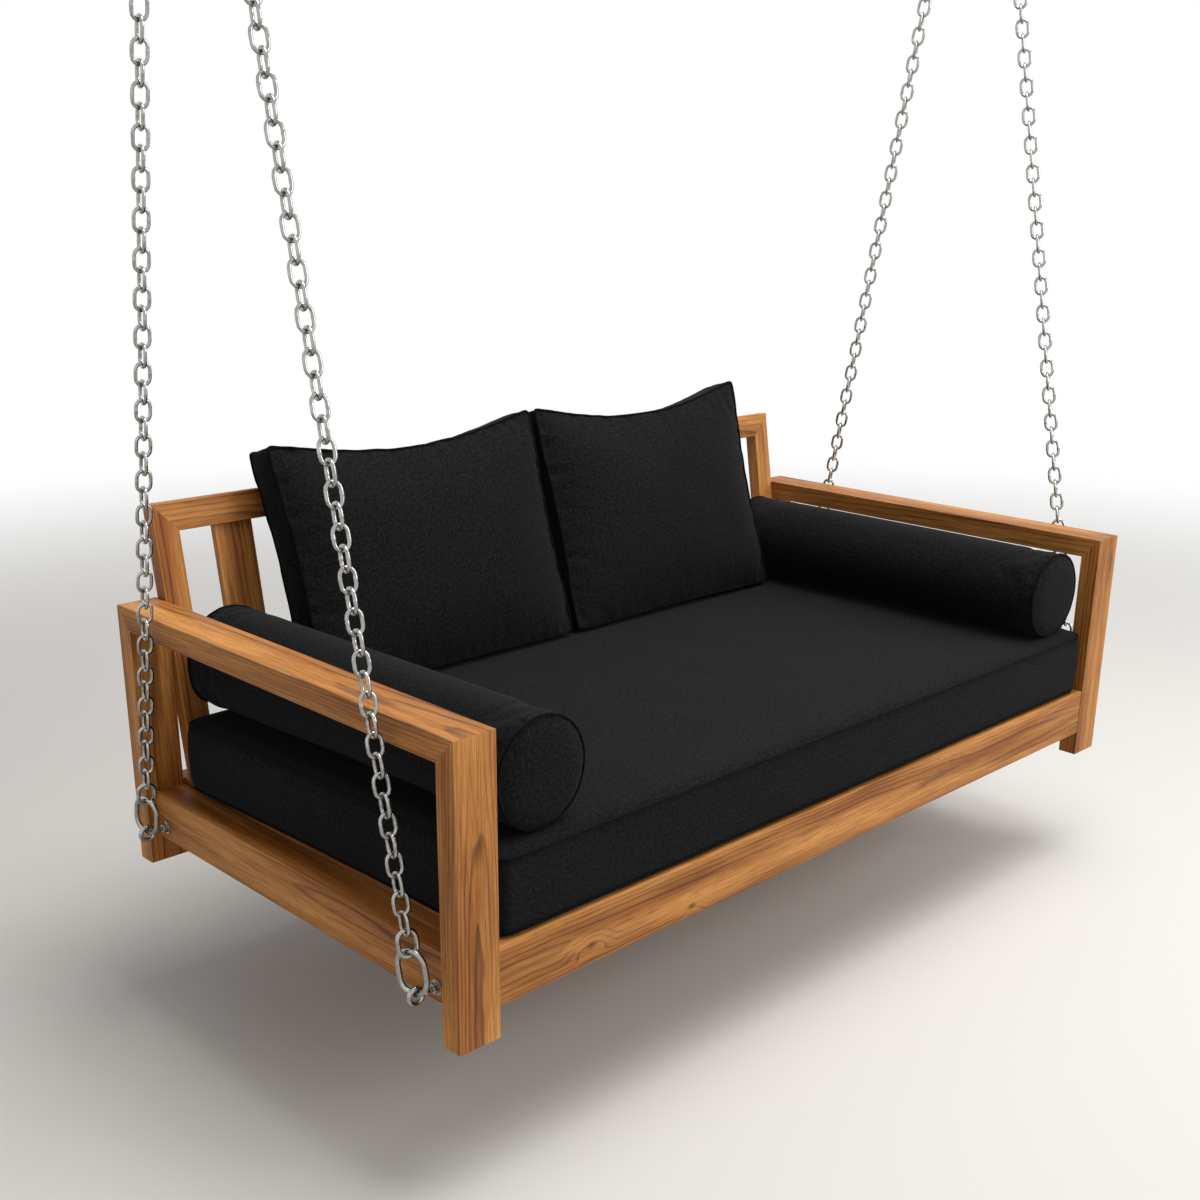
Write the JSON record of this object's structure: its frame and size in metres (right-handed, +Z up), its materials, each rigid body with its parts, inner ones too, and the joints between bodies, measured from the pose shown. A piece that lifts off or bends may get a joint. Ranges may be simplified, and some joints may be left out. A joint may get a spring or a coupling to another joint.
{
  "type": "hanging swing bed",
  "caption": "Hardwood daybed with mitred end frames, a raked slatted backrest, box mattress, bolsters and back cushions, hung on chains from ceiling eyes.",
  "frame": {"origin": "centre of the footprint of the whole object, at the height of the feet", "axes": "+X to the right seen from the front, +Y from the front apron to the backrest, +Z up"},
  "size_m": [2.18, 1.0808, 2.6542],
  "materials": {
    "teak": "oiled, satin, planed boards with flat-sawn grain",
    "hidden_hardwood": "planed, unfinished",
    "zinc_chain": "bright zinc plated",
    "zinc_fitting": "zinc plated, satin",
    "screw_steel": "plain steel",
    "canvas": "black woven canvas, matt, piped seams"
  },
  "bodies": {
    "ceiling": {"left_ceiling_eye": "zinc_fitting", "right_ceiling_eye": "zinc_fitting"},
    "swing": {"left_hanging_ring": "zinc_fitting", "right_hanging_ring": "zinc_fitting", "left_front_chain": "zinc_chain", "left_back_chain": "zinc_chain", "right_front_chain": "zinc_chain", "right_back_chain": "zinc_chain", "left_front_connecting_link": "zinc_fitting", "left_back_connecting_link": "zinc_fitting", "right_front_connecting_link": "zinc_fitting", "right_back_connecting_link": "zinc_fitting", "left_front_oval_ring": "zinc_fitting", "left_back_oval_ring": "zinc_fitting", "right_front_oval_ring": "zinc_fitting", "right_back_oval_ring": "zinc_fitting", "eye_bolts": "zinc_fitting", "eye_bolt_washers": "zinc_fitting", "eye_bolt_nuts": "zinc_fitting", "left_front_post": "teak", "left_back_post": "teak", "right_front_post": "teak", "right_back_post": "teak", "left_arm": "teak", "right_arm": "teak", "left_side_rail": "teak", "right_side_rail": "teak", "front_apron": "teak", "back_apron": "teak", "front_ledger": "hidden_hardwood", "back_ledger": "hidden_hardwood", "left_side_cleat": "teak", "right_side_cleat": "teak", "center_bearer": "hidden_hardwood", "seat_slats": "teak", "backrest_left_stile": "teak", "backrest_right_stile": "teak", "backrest_top_rail": "teak", "backrest_bottom_rail": "teak", "backrest_slats": "teak", "mitre_splines": "hidden_hardwood", "backrest_splines": "hidden_hardwood", "slat_screws": "screw_steel", "ledger_screws": "screw_steel", "cleat_screws": "screw_steel", "backrest_screws": "screw_steel"},
    "mattress": {"mattress": "canvas"},
    "left_bolster": {"left_bolster": "canvas"},
    "right_bolster": {"right_bolster": "canvas"},
    "left_back_cushion": {"left_back_cushion": "canvas"},
    "right_back_cushion": {"right_back_cushion": "canvas"}
  },
  "joints": [
    {"name": "swing_hinge", "type": "hinge", "parent": "ceiling", "child": "swing", "pos_m": [0, 0.02707, 2.5257], "axis": [1, 0, 0], "range_deg": [-15, 15]},
    {"name": "mattress_lift", "type": "slide", "parent": "swing", "child": "mattress", "axis": [0, 0, 1], "range_m": [0, 0.15]},
    {"name": "left_bolster_lift", "type": "slide", "parent": "mattress", "child": "left_bolster", "axis": [0, 0, 1], "range_m": [0, 0.2]},
    {"name": "right_bolster_lift", "type": "slide", "parent": "mattress", "child": "right_bolster", "axis": [0, 0, 1], "range_m": [0, 0.2]},
    {"name": "left_back_cushion_lift", "type": "slide", "parent": "mattress", "child": "left_back_cushion", "axis": [0, 0, 1], "range_m": [0, 0.2]},
    {"name": "right_back_cushion_lift", "type": "slide", "parent": "mattress", "child": "right_back_cushion", "axis": [0, 0, 1], "range_m": [0, 0.2]}
  ]
}
